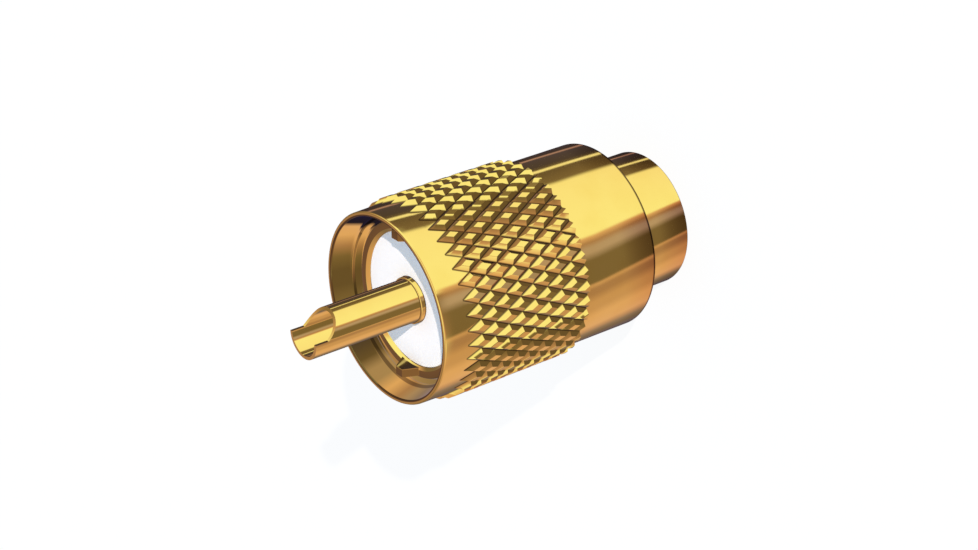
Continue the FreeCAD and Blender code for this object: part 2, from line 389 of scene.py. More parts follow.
class Sheet:
    """The nodes of one material or of the world."""

    def __init__(self, owner: bpy.types.Material | bpy.types.World) -> None:
        """Starts with no nodes.

        Args:
            owner: the material or the world.
        """
        owner.use_nodes = True
        owner.node_tree.nodes.clear()
        self.owner = owner

    def node(
        self, kind: str, settings: dict[str, object] | None = None, inputs: dict | None = None
    ) -> bpy.types.Node:
        """Adds a node, sets it up and then fills its sockets.

        Args:
            kind: the node's type.
            settings: its properties. The key stops gives a ramp's (place, colour) pairs.
            inputs: values or links by socket name or number, and colours without their opacity.

        Returns:
            The node.
        """
        made = self.owner.node_tree.nodes.new(kind)
        for name, value in (settings or {}).items():
            if name == "stops":
                self.fill_ramp(made.color_ramp, value)
            else:
                setattr(made, name, value)
        for key, value in (inputs or {}).items():
            socket = made.inputs[key]
            value = value.socket if isinstance(value, Wire) else value
            if isinstance(value, bpy.types.NodeSocket):
                self.owner.node_tree.links.new(value, socket)
            else:
                socket.default_value = (*value, 1) if socket.type == "RGBA" else value
        return made

    @staticmethod
    def fill_ramp(ramp: bpy.types.ColorRamp, stops: list[tuple[float, Colour]]) -> None:
        """Gives a ramp its stops.

        Args:
            ramp: the ramp.
            stops: each a place from 0 to 1 and a colour.
        """
        while len(ramp.elements) < len(stops):
            ramp.elements.new(1)
        for element, (place, colour) in zip(ramp.elements, stops):
            element.position = place
            element.color = (*colour, 1)

    def wire(self, kind: str, *rest: dict, out: int | str = 0, **named: dict) -> Wire:
        """Adds a node as node does, and returns one of its outputs."""
        return Wire(self, self.node(kind, *rest, **named).outputs[out])

    def place(self) -> Wire:
        """The piece's own coordinates, in metres."""
        return self.wire("ShaderNodeTexCoord", out="Object")

    def parts(self, vector: Wire) -> list[Wire]:
        """The three components of a vector."""
        made = self.node("ShaderNodeSeparateXYZ", inputs={0: vector})
        return [Wire(self, out) for out in made.outputs]

    def polar(self) -> tuple[Wire, Wire, Wire, Wire]:
        """The piece's own x, y and z, and the distance from the axis."""
        x, y, z = self.parts(self.place())
        return x, y, z, (x * x + y * y) ** 0.5

    def vector(self, x: Wire | float, y: Wire | float, z: Wire | float) -> Wire:
        """A vector of three values."""
        return self.wire("ShaderNodeCombineXYZ", inputs={0: x, 1: y, 2: z})

    def noise(self, vector: Wire, scale: float, detail: float = 2, roughness: float = 0.5) -> Wire:
        """Noise about 0.5, with about scale blobs to a unit."""
        inputs = {"Vector": vector, "Scale": scale, "Detail": detail, "Roughness": roughness}
        return self.wire("ShaderNodeTexNoise", inputs=inputs)

    def blend(self, factor: Wire, first: Wire | Colour, second: Wire | Colour) -> Wire:
        """A colour between two others."""
        inputs = {"Factor": factor, "A": first, "B": second}
        return self.wire("ShaderNodeMix", {"data_type": "RGBA"}, inputs, out="Result")

    def bump(self, strength: float, distance: float, height: Wire) -> Wire:
        """A normal that follows a height, of at most distance millimetres."""
        inputs = {"Strength": strength, "Distance": distance * MM, "Height": height}
        return self.wire("ShaderNodeBump", inputs=inputs)

    def emit(self, colour: Wire | Colour) -> bpy.types.Node:
        """A surface that looks exactly like its colour."""
        return self.node("ShaderNodeEmission", inputs={"Color": colour, "Strength": 1.0})

    def finish(self, shader: bpy.types.Node) -> bpy.types.Material | bpy.types.World:
        """Leads a shader to the output.

        Args:
            shader: its node.

        Returns:
            The finished material or world.
        """
        kind = "World" if isinstance(self.owner, bpy.types.World) else "Material"
        self.node("ShaderNodeOutput" + kind, inputs={"Surface": shader.outputs[0]})
        return self.owner


def placed(name: str, data: bpy.types.ID) -> bpy.types.Object:
    """A new object in the scene.

    Args:
        name: what it is called.
        data: its mesh, lamp or camera.

    Returns:
        The object.
    """
    made = bpy.data.objects.new(name, data)
    bpy.context.scene.collection.objects.link(made)
    return made


def lowest(node: str) -> float:
    """The lowest z of a solid, in millimetres."""
    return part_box(node)[0].z / MM


def highest(node: str) -> float:
    """The highest z of a solid, in millimetres."""
    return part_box(node)[1].z / MM


def reach(node: str) -> float:
    """The largest radius of a turned solid, in millimetres."""
    low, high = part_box(node)
    return max(high.x, high.y, -low.x, -low.y) / MM


@dataclass
class Knurl:
    """A diamond knurl: rows of teeth half a tooth apart, each with a flat top and four flanks.

    Attributes:
        crest_r: radius to the tops.
        root_r: radius to the valleys.
        teeth: how many go round.
        half_pitch: from one row to the next along the axis.
        flat_share: how much of a tooth's length is its top.
        angle: where the row of lands in front of the first teeth starts, in degrees.
        edge: half of the width of the top's worn edge, as a share of the tooth.
        land_steps: steps across a land.
    """

    crest_r: float
    root_r: float
    teeth: int = 40
    half_pitch: float = 1.485
    flat_share: float = 0.47
    angle: float = -86.5
    edge: float = 0.014
    land_steps: int = 8

    def flank(self) -> float:
        """The share of a tooth's side that one of its flanks takes."""
        return (1 - self.flat_share) / 2

    def stops(self) -> np.ndarray:
        """Where the lines of a tooth's grid cross its side: at its ends and beside its top's worn edges."""
        stops = np.array([0, self.flank() - self.edge, self.flank() + self.edge])
        return np.concatenate([stops, 1 - stops[::-1]])

    def land(self) -> Skin:
        """The smooth three-cornered land at +X in front of the first teeth.

        Its rows get shorter from the band to the corner where two teeth meet. A row ends on the straight
        sides of the two teeth, and between its ends it lies on the root cylinder.

        Returns:
            The land's surface in millimetres, with its front edge at z = 0.
        """
        share = self.stops()[:, None]
        side = np.linspace(-1, 1, self.land_steps + 1)
        half_turn = np.pi / self.teeth
        x = self.root_r * ((1 - share) * np.cos(half_turn) + share)
        y = self.root_r * (1 - share) * np.sin(half_turn)
        radius = np.where(np.abs(side) == 1, np.hypot(x, y), self.root_r)
        return grid(spun(radius, side * np.arctan2(y, x), -share * self.half_pitch), False, False)

    def tooth(self) -> Skin:
        """One tooth at +X with its middle at z = 0.

        Across its foot, u and v run from 0 to 1 along the two sets of valleys, and m is the distance to
        the nearest valley. A point lies on the line from the foot's outline to the top's outline, as far
        up as m is of the flank's width f. Both outlines are read at the point that u and v give when
        they are moved away from the middle by 1 / (1 - 2 m).

        Returns:
            The tooth's surface in millimetres.
        """
        half_turn = np.pi / self.teeth
        half_width = self.root_r * np.sin(half_turn)
        side_r = self.root_r * np.cos(half_turn)
        depth = self.crest_r - self.root_r
        top = self.flat_share * self.half_pitch
        spread = self.half_pitch * depth + (self.root_r - side_r) * (self.half_pitch - top)
        top_width = half_width * depth * top / spread
        foot = np.array([
            [self.root_r, 0, self.half_pitch], [side_r, half_width, 0],
            [self.root_r, 0, -self.half_pitch], [side_r, -half_width, 0],
        ])
        crown = np.array([
            [self.crest_r, 0, top], [self.crest_r, top_width, 0],
            [self.crest_r, 0, -top], [self.crest_r, -top_width, 0],
        ])
        stops, flank = self.stops(), self.flank()
        u, v = np.meshgrid(stops, stops, indexing="ij")
        near = np.minimum(np.minimum(u, 1 - u), np.minimum(v, 1 - v))
        climb = np.clip(near / flank, 0, 1)[..., None]
        shrink = 1 - 2 * np.minimum(near, flank)
        u, v = 0.5 + (u - 0.5) / shrink, 0.5 + (v - 0.5) / shrink
        weights = np.stack([(1 - u) * (1 - v), u * (1 - v), u * v, (1 - u) * v], axis=-1)
        cells = grid((1 - climb) * (weights @ foot) + climb * (weights @ crown), False, False)
        count = len(stops) - 1
        row, column = np.divmod(np.arange(count * count), count)
        rising = row == column
        falling = (row + column == count - 1) & ~rising
        a, b, c, d = cells.quads.T
        halves = [
            np.stack([a, b, c], axis=-1)[rising], np.stack([a, c, d], axis=-1)[rising],
            np.stack([a, b, d], axis=-1)[falling], np.stack([b, c, d], axis=-1)[falling],
        ]
        return Skin(cells.points, cells.quads[~(rising | falling)], np.vstack(halves))

    def repeated(self, cell: Skin, rows: np.ndarray, front: float) -> Skin:
        """A tooth or land repeated round the ring, every other row half a tooth on.

        Args:
            cell: its surface at +X, in millimetres.
            rows: the numbers of the rows, counted from the land's.
            front: the level of the land's front edge.

        Returns:
            The surface in metres.
        """
        row, number = np.meshgrid(rows, np.arange(self.teeth), indexing="ij")
        turn = np.radians(self.angle) + (number + 0.5 * (row % 2)) * TURN / self.teeth
        turn, row = turn.reshape(-1, 1), row.reshape(-1, 1)
        x = cell.points[:, 0] * np.cos(turn) - cell.points[:, 1] * np.sin(turn)
        y = cell.points[:, 0] * np.sin(turn) + cell.points[:, 1] * np.cos(turn)
        z = cell.points[:, 2] + front - row * self.half_pitch
        shift = np.arange(len(turn))[:, None, None] * len(cell.points)
        return Skin(
            np.stack([x, y, z], axis=-1).reshape(-1, 3) * MM,
            (cell.quads + shift).reshape(-1, 4),
            (cell.triangles + shift).reshape(-1, 3),
        )

    def skin(self, rear: float, front: float) -> Skin:
        """The lands and all teeth that reach past the rear level.

        Args:
            rear: the lowest level that is needed, in millimetres.
            front: the level of the lands' front edge.

        Returns:
            The surface in metres, open at both ends.
        """
        rows = np.arange(1, int(np.ceil((front - rear) / self.half_pitch)) + 2)
        lands = self.repeated(self.land(), np.arange(1), front)
        return (lands + self.repeated(self.tooth(), rows, front)).welded()


@dataclass
class Thread:
    """An inner thread: its valleys are cut into the wall of a bore.

    Attributes:
        minor_r: radius to its crests.
        major_r: radius to its valleys.
        pitch: from one turn to the next.
        crest: the crest's flat as a share of the pitch.
        valley: the valley's flat as a share of the pitch.
        fade: the length over which it gets deep at its rear end.
        wait: the share of that length before it starts.
        segments: steps round.
    """

    minor_r: float
    major_r: float
    pitch: float = 25.4 / 24
    crest: float = 0.30
    valley: float = 0.19
    fade: float = 0.9
    wait: float = 0.2
    segments: int = 192

    def skin(self, rear: float, front: float, slope_start: float, slope_end: float) -> Skin:
        """The threaded wall, past both of its ends.

        A row of points climbs one pitch in each turn, so z is the row's share of the pitch plus the
        angle's share of the turn. The radius is the crests' plus the depth times a trapezoid of that
        row share, and never less than the smooth wall, which widens between the slope's two levels.

        Args:
            rear: the lowest level that is needed, in millimetres.
            front: the highest.
            slope_start: where the smooth wall starts to widen.
            slope_end: where it reaches the valleys' radius.

        Returns:
            The surface in metres, open at both ends.
        """
        flank = (1 - self.crest - self.valley) / 2
        half = self.crest / 2
        shares = np.cumsum([0, half, half, flank / 2, flank / 2, self.valley, flank / 2])
        turns = np.arange(-2, int(np.ceil((front - rear) / self.pitch)) + 2)
        rows = (turns[:, None] + shares).reshape(-1, 1)
        angles = np.arange(self.segments + 1) / self.segments
        z = rear + self.pitch * (rows + angles)
        middle = self.crest + flank + self.valley / 2
        cut = np.clip(1 - (np.abs(rows % 1 - middle) - self.valley / 2) / flank, 0, 1)
        start = np.clip((z - rear) / self.fade - self.wait, 0, 1)
        smooth = np.clip((z - slope_start) / (slope_end - slope_start), 0, 1)
        radius = self.minor_r + (self.major_r - self.minor_r) * np.maximum(smooth, cut * start)
        return grid(spun(radius, angles * TURN, z) * MM, False, False).welded()


@dataclass(frozen=True)
class Seam:
    """A circle about the axis along which a surface is darkened with painted shade, where light doesn't
    reach it.

    Attributes:
        radius: of the circle.
        z: its level.
        width: how far from the circle the dark reaches.
    """

    radius: float
    z: float
    width: float


@dataclass(frozen=True)
class Recess:
    """A stretch between two radii and two levels darkened with painted shade, where little light reaches
    it.

    Attributes:
        low_r: the smaller radius.
        high_r: the larger one.
        low_z: the lower level.
        high_z: the upper one.
        share: how dark its painted shade is.
    """

    low_r: float
    high_r: float
    low_z: float
    high_z: float
    share: float


@dataclass(frozen=True)
class Turned:
    """A finish of a turned metal piece, with the lathe's fine marks round the axis and painted shade where
    light is kept out.

    Attributes:
        name: the material's name.
        colour: the metal's colour seen head on.
        shade: the colour where the plating is a little duller.
        roughness: how far the surface blurs what it mirrors.
        marks: how strong the lathe's marks are.
        mirror_r: the radius in millimetres within which it mirrors without any blur.
        seams: the circles darkened with painted shade.
        recesses: the stretches darkened with painted shade.
        seam_share: how dark a seam's painted shade is.
        seam_core: the share of its width that is fully dark.
    """

    name: str
    colour: Colour
    shade: Colour
    roughness: float
    marks: float
    mirror_r: float = 0.0
    seams: tuple[Seam, ...] = ()
    recesses: tuple[Recess, ...] = ()
    seam_share: float = 0.9
    seam_core: float = 0.6

    def painted_shade_share(self, x: Wire, y: Wire, z: Wire, radius: Wire) -> Wire:
        """How much painted shade darkens a place where light is kept out: a share from 0 to 1, the highest
        of all seams and recesses.

        Args:
            x: the place's x; not used here.
            y: its y; not used here.
            z: its z.
            radius: its distance from the axis.

        Returns:
            The share.
        """
        share = 0 * radius
        for seam in self.seams:
            away = ((radius - seam.radius * MM) ** 2 + (z - seam.z * MM) ** 2) ** 0.5
            near = 1 - away.step(self.seam_core * seam.width * MM, seam.width * MM)
            share = share.math("MAXIMUM", self.seam_share * near)
        for low in self.recesses:
            inside = radius.within(low.low_r, low.high_r) * z.within(low.low_z, low.high_z)
            share = share.math("MAXIMUM", low.share * inside)
        return share

    def material(self) -> bpy.types.Material:
        """The finish, with soft clouds, small dull spots, the lathe's marks and painted shade at seams and
        recesses.

        Returns:
            The material.
        """
        sheet = Sheet(bpy.data.materials.new(self.name))
        x, y, z, radius = sheet.polar()
        lathe = sheet.noise(sheet.vector(radius, 0.0, z), scale=9000, detail=3, roughness=0.6)
        cloud = sheet.noise(sheet.place(), scale=260, detail=3)
        spots = sheet.noise(sheet.place(), scale=1900).step(0.62, 0.78)
        colour = sheet.blend(cloud.step(0.35, 0.8), self.colour, self.shade)
        rough = self.roughness * (0.75 + 0.5 * cloud) + 0.03 * spots + self.marks * 0.04 * lathe
        # No blur inside the rim, so the bore's mirrored rays see the tent's painted reflection row.
        if self.mirror_r:
            rough = rough * radius.step(self.mirror_r * MM - SOFT, self.mirror_r * MM)
        return sheet.finish(sheet.node("ShaderNodeBsdfPrincipled", inputs={
            # Painted shade: the base colour turns dark at seams, recesses and the knurl's valleys.
            "Base Color": sheet.blend(self.painted_shade_share(x, y, z, radius), colour, PAINTED_SHADE),
            "Metallic": 1.0,
            "Roughness": rough,
            "Normal": sheet.bump(self.marks, 0.002, lathe),
        }))


@dataclass(frozen=True)
class Knurled(Turned):
    """The finish of a knurled ring, with painted shade along the valleys between its teeth.

    Attributes:
        front: the level of the knurl's front end, in millimetres.
        valley: the shares of a tooth's width, from its middle line, over which a valley's painted shade
            fades.
        valley_share: how dark a valley's painted shade is.
        outside: the radii in millimetres between which the valleys' painted shade starts.
    """

    front: float = 0.0
    valley: tuple[float, float] = (0.02, 0.07)
    valley_share: float = 0.85
    outside: tuple[float, float] = (8.5, 8.7)

    def painted_shade_share(self, x: Wire, y: Wire, z: Wire, radius: Wire) -> Wire:
        """The painted shade's share for seams and recesses, and that for the valleys.

        Across the two sets of valleys, u and v count the teeth: half of the rows from the front plus or
        minus the teeth round the axis. A valley lies where either is a whole number and a half.

        Args:
            x: the place's x.
            y: its y.
            z: its z.
            radius: its distance from the axis.

        Returns:
            The share.
        """
        rows = (self.front * MM - z) / (2 * Knurl.half_pitch * MM)
        round_it = (y.math("ARCTAN2", x) - np.radians(Knurl.angle)) * (Knurl.teeth / TURN)
        u, v = ((line + 0.5).math("PINGPONG", 0.5) for line in (rows + round_it, rows - round_it))
        # Painted shade along the knurl's valleys, behind its front and outside its bore.
        dark = 1 - u.math("MINIMUM", v).step(*self.valley)
        outside = radius.step(self.outside[0] * MM, self.outside[1] * MM)
        behind = 1 - z.step(self.front * MM - SOFT, self.front * MM)
        valleys = self.valley_share * dark * outside * behind
        return super().painted_shade_share(x, y, z, radius).math("MAXIMUM", valleys)


@dataclass(frozen=True)
class Moulded:
    """A finish of a plain insulating piece.

    Attributes:
        name: the material's name.
        colour: its colour.
        shade: the colour of its faint clouds.
        roughness: how dull it is.
        grain: how strong its fine grain is.
    """

    name: str
    colour: Colour
    shade: Colour
    roughness: float
    grain: float

    def material(self) -> bpy.types.Material:
        """The finish, with faint clouds, fine grain and rings round the axis.

        Returns:
            The material.
        """
        sheet = Sheet(bpy.data.materials.new(self.name))
        _, _, z, radius = sheet.polar()
        rings = sheet.noise(sheet.vector(radius, 0.0, z), scale=4000)
        grain = sheet.noise(sheet.place(), scale=5200)
        cloud = sheet.noise(sheet.place(), scale=320, detail=3)
        return sheet.finish(sheet.node("ShaderNodeBsdfPrincipled", inputs={
            "Base Color": sheet.blend(cloud.step(0.3, 0.85), self.colour, self.shade),
            "Roughness": self.roughness + 0.12 * (grain - 0.5),
            "Normal": sheet.bump(self.grain, 0.01, 0.6 * rings + 0.4 * grain),
        }))


@dataclass
class Piece:
    """One piece of the plug: what it stands for, what it rides on and how it is finished.

    Attributes:
        node: the solid that it replaces.
        body: the body that it rides on.
        slot: the kind of finish; not used.
        material: the material that dresses it.
    """

    node: str
    body: Body
    slot: Slot
    material: bpy.types.Material

    def put(self, skin: Skin) -> None:
        """Makes the piece's object from its surface, dresses it and sets it on its body.

        Args:
            skin: the piece's whole surface.
        """
        skin = skin.welded()
        name = self.node + "_skin"
        made = placed(name, skin.mesh(name))
        made.data.materials.append(self.material)
        made.visible_glossy = False
        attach(made, self.body.value)
        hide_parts(self.node)
        log.info("%s: %d points, %d open edges", name, len(skin.points), skin.open_edges())


@dataclass
class CouplingRing:
    """The knurled ring with its plain band, rim, threaded bore and snap ring's groove."""

    material: bpy.types.Material
    band_r: float = 8.86
    band_length: float = 2.38
    rim_width: float = 0.41
    rim_round: float = 0.05
    rim_edge: float = 0.14
    lead_in: float = 1.8
    run_in: float = 0.8
    major_r: float = 7.92
    minor_r: float = 7.45
    lip: float = 1.4
    lip_round: float = 0.15
    groove_r: float = 8.1
    groove_width: float = 1.1
    groove_edge: float = 0.04
    thread_rear: float = 17.6
    strip: float = 0.12
    root_step: float = 0.05
    crest_rise: float = 0.485
    segments: int = 256

    def circle(self, radius: float, z: float) -> np.ndarray:
        """A level circle of points about the axis, in metres."""
        return around(np.array([[radius, z]]) * MM, round_angles(self.segments))[0]

    def stretch(self, corners: list[Corner]) -> Skin:
        """An open outline turned about the axis."""
        return grid(around(rounded(corners, closed=False), round_angles(self.segments)), False, True)

    def skin(self) -> Skin:
        """The whole ring: knurl, front end, thread and rear end, zipped together.

        Returns:
            The closed surface in metres.
        """
        rear, front = lowest("coupling_ring"), highest("coupling_ring")
        knurl_front = front - self.band_length
        slope_end = front - self.lead_in
        slope_start = slope_end - self.run_in
        root_r = self.band_r + self.root_step
        rim_r = self.band_r - self.rim_width
        cone_slope = (rim_r - self.major_r) / self.lead_in
        knurl = Knurl(self.band_r + self.crest_rise, root_r)
        teeth, low_loop, high_loop = sliced(knurl.skin(rear, knurl_front), rear * MM, knurl_front * MM)
        thread = Thread(self.minor_r, self.major_r)
        wall, wall_low, wall_high = sliced(
            thread.skin(self.thread_rear, slope_end, slope_start, slope_end),
            self.thread_rear * MM, slope_end * MM,
        )
        front_end = [
            (self.major_r + self.strip * cone_slope, slope_end + self.strip),
            (rim_r, front, self.rim_round),
            (self.band_r, front, self.rim_edge),
            (root_r, knurl_front + self.strip),
        ]
        groove_rear = rear + self.lip
        groove_front = groove_rear + self.groove_width
        rear_end = [
            (self.band_r, rear),
            (self.minor_r, rear, self.lip_round),
            (self.minor_r, groove_rear, self.groove_edge),
            (self.groove_r, groove_rear, self.groove_edge),
            (self.groove_r, groove_front, self.groove_edge),
            (self.minor_r, groove_front, self.groove_edge),
            (self.minor_r, self.thread_rear - self.strip),
        ]
        return (
            teeth
            + zipped(high_loop, self.circle(*front_end[-1]))
            + self.stretch(front_end)
            + zipped(self.circle(*front_end[0]), wall_high)
            + wall
            + zipped(wall_low, self.circle(*rear_end[-1]))
            + self.stretch(rear_end)
            + zipped(self.circle(*rear_end[0]), low_loop)
        )

    def build(self) -> None:
        """Makes the ring's piece."""
        Piece("coupling_ring", Body.RING, Slot.GOLD, self.material).put(self.skin())


@dataclass
class PlugBody:
    """The turned body: barrel, neck and flange, with two locating tabs on the flange."""

    material: bpy.types.Material
    seat_gap: float = 0.05
    neck_r: float = 6.4
    flange_r: float = 7.3
    flange_length: float = 5.1
    clamp_bore_r: float = 5.0
    slip: float = 0.01
    setback: float = 0.3
    lead_in: float = 0.27
    floor_step: float = 0.7
    tab_base: float = 2.6
    tab_top: float = 0.9
    tab_height: float = 1.3
    tab_angle: float = -32.2
    tab_edge: float = 0.15
    tab_round: float = 0.05
    tab_sink: float = 0.04
    tab_steps: int = 24

    def turned_part(self) -> Skin:
        """The body without its tabs.

        Returns:
            The closed surface in metres.
        """
        barrel_r, rear = reach("plug_body"), lowest("plug_body")
        barrel_front = lowest("coupling_ring") - self.seat_gap
        front = self.front()
        flange_rear = front - self.flange_length
        pocket_floor = flange_rear + self.floor_step
        pocket_r = reach("front_insulator") + self.slip
        bead_r, bead_rear = reach("rear_insulator") + self.slip, lowest("rear_insulator")
        return turned([
            (self.clamp_bore_r, rear, 0.1),
            (barrel_r, rear, 0.12),
            (barrel_r, barrel_front, 0.06),
            (self.neck_r, barrel_front, 0.05),
            (self.neck_r, flange_rear, 0.05),
            (self.flange_r, flange_rear, 0.08),
            (self.flange_r, front, 0.12),
            (pocket_r + self.lead_in, front, 0.05),
            (pocket_r, front - self.setback, 0.05),
            (pocket_r, pocket_floor),
            (bead_r, pocket_floor),
            (bead_r, bead_rear),
            (self.clamp_bore_r, bead_rear),
        ])

    def tab(self, angle: float) -> Skin:
        """One tab, as a closed block that follows the flange's wall.

        Its half width falls in a straight line from the base to the top. Across its width, the angle is
        a share of the arc sine of the half width over the radius, which keeps its two sides flat.

        Args:
            angle: where it stands round the axis, in degrees.

        Returns:
            The block in metres.
        """
        inner, outer = reach("front_insulator") + self.slip, self.flange_r - self.tab_edge
        low, high = self.front() - self.tab_sink, self.front() + self.tab_height
        outline = rounded([
            (inner, low), (outer, low), (outer, high, self.tab_round), (inner, high, self.tab_round),
        ])
        half = np.interp(outline[:, 1:] / MM, [self.front(), high], [self.tab_base / 2, self.tab_top / 2])
        share = np.linspace(-1, 1, self.tab_steps + 1)
        swing = np.arcsin(half * MM / outline[:, :1]) * share + np.radians(angle)
        return capped(around(outline, swing))

    def front(self) -> float:
        """The level of the flange's front face."""
        return highest("front_insulator") + self.setback

    def build(self) -> None:
        """Makes the body's piece."""
        skin = self.turned_part() + self.tab(self.tab_angle) + self.tab(self.tab_angle + 180)
        Piece("plug_body", Body.BODY, Slot.GOLD, self.material).put(skin)


@dataclass
class CentrePin:
    """The hollow pin, whose tip is cut to a scoop."""

    material: bpy.types.Material
    pin_r: float = 2.0
    wall: float = 0.3
    shank_step: float = 0.17
    shoulder: float = 0.45
    lead: float = 0.1
    edge: float = 0.04
    flat_length: float = 1.31
    arc_length: float = 1.46
    cutter_r: float = 4.6
    scoop_angle: float = -31.0
    segments: int = 192
    rows: int = 12

    def cut_level(self, side: np.ndarray) -> np.ndarray:
        """The level of the scoop's cut at a distance from the axis towards the scoop.

        The cut is an arc from the flat's end on the axis to full round at the pin's radius. Its centre
        is one cutter radius from both ends, on the tip's side.

        Args:
            side: the distances, in millimetres.

        Returns:
            The levels in millimetres.
        """
        high = highest("centre_pin") - self.flat_length
        start, end = np.array([0.0, high]), np.array([self.pin_r, high - self.arc_length])
        chord = end - start
        length = np.linalg.norm(chord)
        normal = np.array([-chord[1], chord[0]]) / length
        centre = (start + end) / 2 + normal * np.sqrt(self.cutter_r ** 2 - (length / 2) ** 2)
        return centre[1] - np.sqrt(self.cutter_r ** 2 - (side - centre[0]) ** 2)

    def build(self) -> None:
        """Makes the pin as one grid, closed both ways.

        Each row is a circle, and the rows follow the wall from the bore's front down to the pin's rear,
        up its outside, over the tip and back down the bore. Above the shoulder, a point's level is its
        row's share of the way to the cut. The two columns beside the scoop's flat part stand twice, once
        up to the tip and once up to the cut, and the face between them is the wall's cut.
        """
        bore_r = self.pin_r - self.wall
        shank_r, flange_r = self.pin_r + self.shank_step, reach("centre_pin")
        rear, tip = lowest("centre_pin"), highest("centre_pin")
        flange_rear, flange_front = highest("rear_insulator"), lowest("front_insulator")
        base = highest("front_insulator") + self.shoulder
        start = base + self.lead
        lower = rounded([
            (bore_r, base),
            (bore_r, rear, self.edge),
            (shank_r, rear, self.edge),
            (shank_r, flange_rear, self.edge),
            (flange_r, flange_rear, self.edge),
            (flange_r, flange_front, self.edge),
            (shank_r, flange_front, self.edge),
            (shank_r, base, 0.08),
            (self.pin_r, base, 0.03),
            (self.pin_r, start),
        ], closed=False)
        half = np.linspace(-np.pi / 2, np.pi / 2, self.segments // 2 + 1)
        angles = np.concatenate([half + np.pi, half])
        is_open = np.arange(len(angles)) >= len(half)
        turn = angles + np.radians(self.scoop_angle)
        share = np.linspace(0, 1, self.rows + 1)[1:, None]

        def side(radius: float) -> np.ndarray:
            """The wall at a radius, from its base to its cut and then to the tip.

            Args:
                radius: the wall's, in millimetres.

            Returns:
                Its rows of points in metres.
            """
            cut = self.cut_level(np.maximum(radius * np.cos(angles), 0))
            cut = np.where(is_open, cut, tip - self.flat_length)
            z = np.vstack([start + share * (cut - start), np.where(is_open, cut, tip)])
            return spun(radius, turn, z) * MM

        points = np.vstack([around(lower, turn), side(self.pin_r), side(bore_r)[::-1]])
        Piece("centre_pin", Body.BODY, Slot.GOLD, self.material).put(grid(points, True, True))


@dataclass
class FrontInsulator:
    """The white disc in the flange, with its spigot."""

    material: bpy.types.Material
    pin_hole_r: float = 2.18
    head_length: float = 4.1

    def build(self) -> None:
        """Makes the insulator's piece."""
        face, rear = highest("front_insulator"), lowest("front_insulator")
        spigot_r, head_r = reach("rear_insulator"), reach("front_insulator")
        seat = face - self.head_length
        Piece("front_insulator", Body.BODY, Slot.INSULATOR, self.material).put(turned([
            (self.pin_hole_r, rear, 0.06),
            (spigot_r, rear, 0.1),
            (spigot_r, seat, 0.05),
            (head_r, seat, 0.1),
            (head_r, face, 0.12),
            (self.pin_hole_r, face, 0.04),
        ]))


@dataclass
class CableEnd:
    """The clamp nut with its plain collar, and what it presses together inside the barrel."""

    metal: bpy.types.Material
    brass: bpy.types.Material
    rubber: bpy.types.Material
    plastic: bpy.types.Material
    cable_r: float = 3.3
    mouth: float = 0.5
    seat_depth: float = 0.7

    def nut(self) -> Skin:
        """Collar and shank of the clamp nut.

        Returns:
            The closed surface in metres.
        """
        collar_front, front = lowest("plug_body"), highest("clamp_nut")
        collar_r, shank_r = reach("clamp_nut"), reach("braid_clamp")
        return turned([
            (self.cable_r + self.mouth, 0, 0.06),
            (collar_r, 0, 0.1),
            (collar_r, collar_front, 0.05),
            (shank_r, collar_front, 0.04),
            (shank_r, front, 0.15),
            (self.cable_r, front, 0.06),
            (self.cable_r, self.mouth, 0.1),
        ])

    @staticmethod
    def plain(
        node: str, bore_r: float, rear_edge: float, front_edge: float, seat: float = 0, cone: float = 0
    ) -> Skin:
        """A plain ring that fills a solid's place.

        Args:
            node: the solid.
            bore_r: radius of its bore.
            rear_edge: the rounding of its rear corners.
            front_edge: the rounding of its front corners.
            seat: how deep its rear is hollowed.
            cone: how far its front stands out.

        Returns:
            The closed surface in metres.
        """
        outer, low, high = reach(node), lowest(node), highest(node)
        return turned([
            (bore_r, low + seat, rear_edge), (outer, low, rear_edge),
            (outer, high - cone, front_edge), (bore_r, high, front_edge),
        ])

    def build(self) -> None:
        """Makes the five pieces."""
        bore_r, depth = self.cable_r, self.seat_depth
        washer = self.plain("thrust_washer", bore_r, 0.05, 0.05)
        gasket = self.plain("gasket", bore_r, 0.08, 0.05, cone=depth)
        clamp = self.plain("braid_clamp", bore_r, 0.04, 0.06, seat=depth)
        bead = self.plain("rear_insulator", FrontInsulator.pin_hole_r, 0.06, 0.06)
        for node, slot, material, skin in (
            ("clamp_nut", Slot.GOLD, self.metal, self.nut()),
            ("thrust_washer", Slot.WASHER, self.brass, washer),
            ("gasket", Slot.GASKET, self.rubber, gasket),
            ("braid_clamp", Slot.GOLD, self.metal, clamp),
            ("rear_insulator", Slot.INSULATOR, self.plastic, bead),
        ):
            Piece(node, Body.BODY, slot, material).put(skin)


@dataclass
class SnapRing:
    """The split ring in the coupling ring's groove."""

    material: bpy.types.Material
    inner_r: float = 6.5
    gap: float = 30.0
    gap_angle: float = 90.0
    edge: float = 0.1
    columns: int = 200

    def build(self) -> None:
        """Makes the split ring: its outline is carried round all but the gap, and both ends are closed."""
        low, high, outer = lowest("snap_ring"), highest("snap_ring"), reach("snap_ring")
        outline = rounded([
            (self.inner_r, low, self.edge), (outer, low, self.edge),
            (outer, high, self.edge), (self.inner_r, high, self.edge),
        ])
        angles = np.linspace(self.gap / 2, 360 - self.gap / 2, self.columns) + self.gap_angle
        skin = capped(around(outline, np.radians(angles)))
        Piece("snap_ring", Body.SNAP_RING, Slot.WIRE, self.material).put(skin)


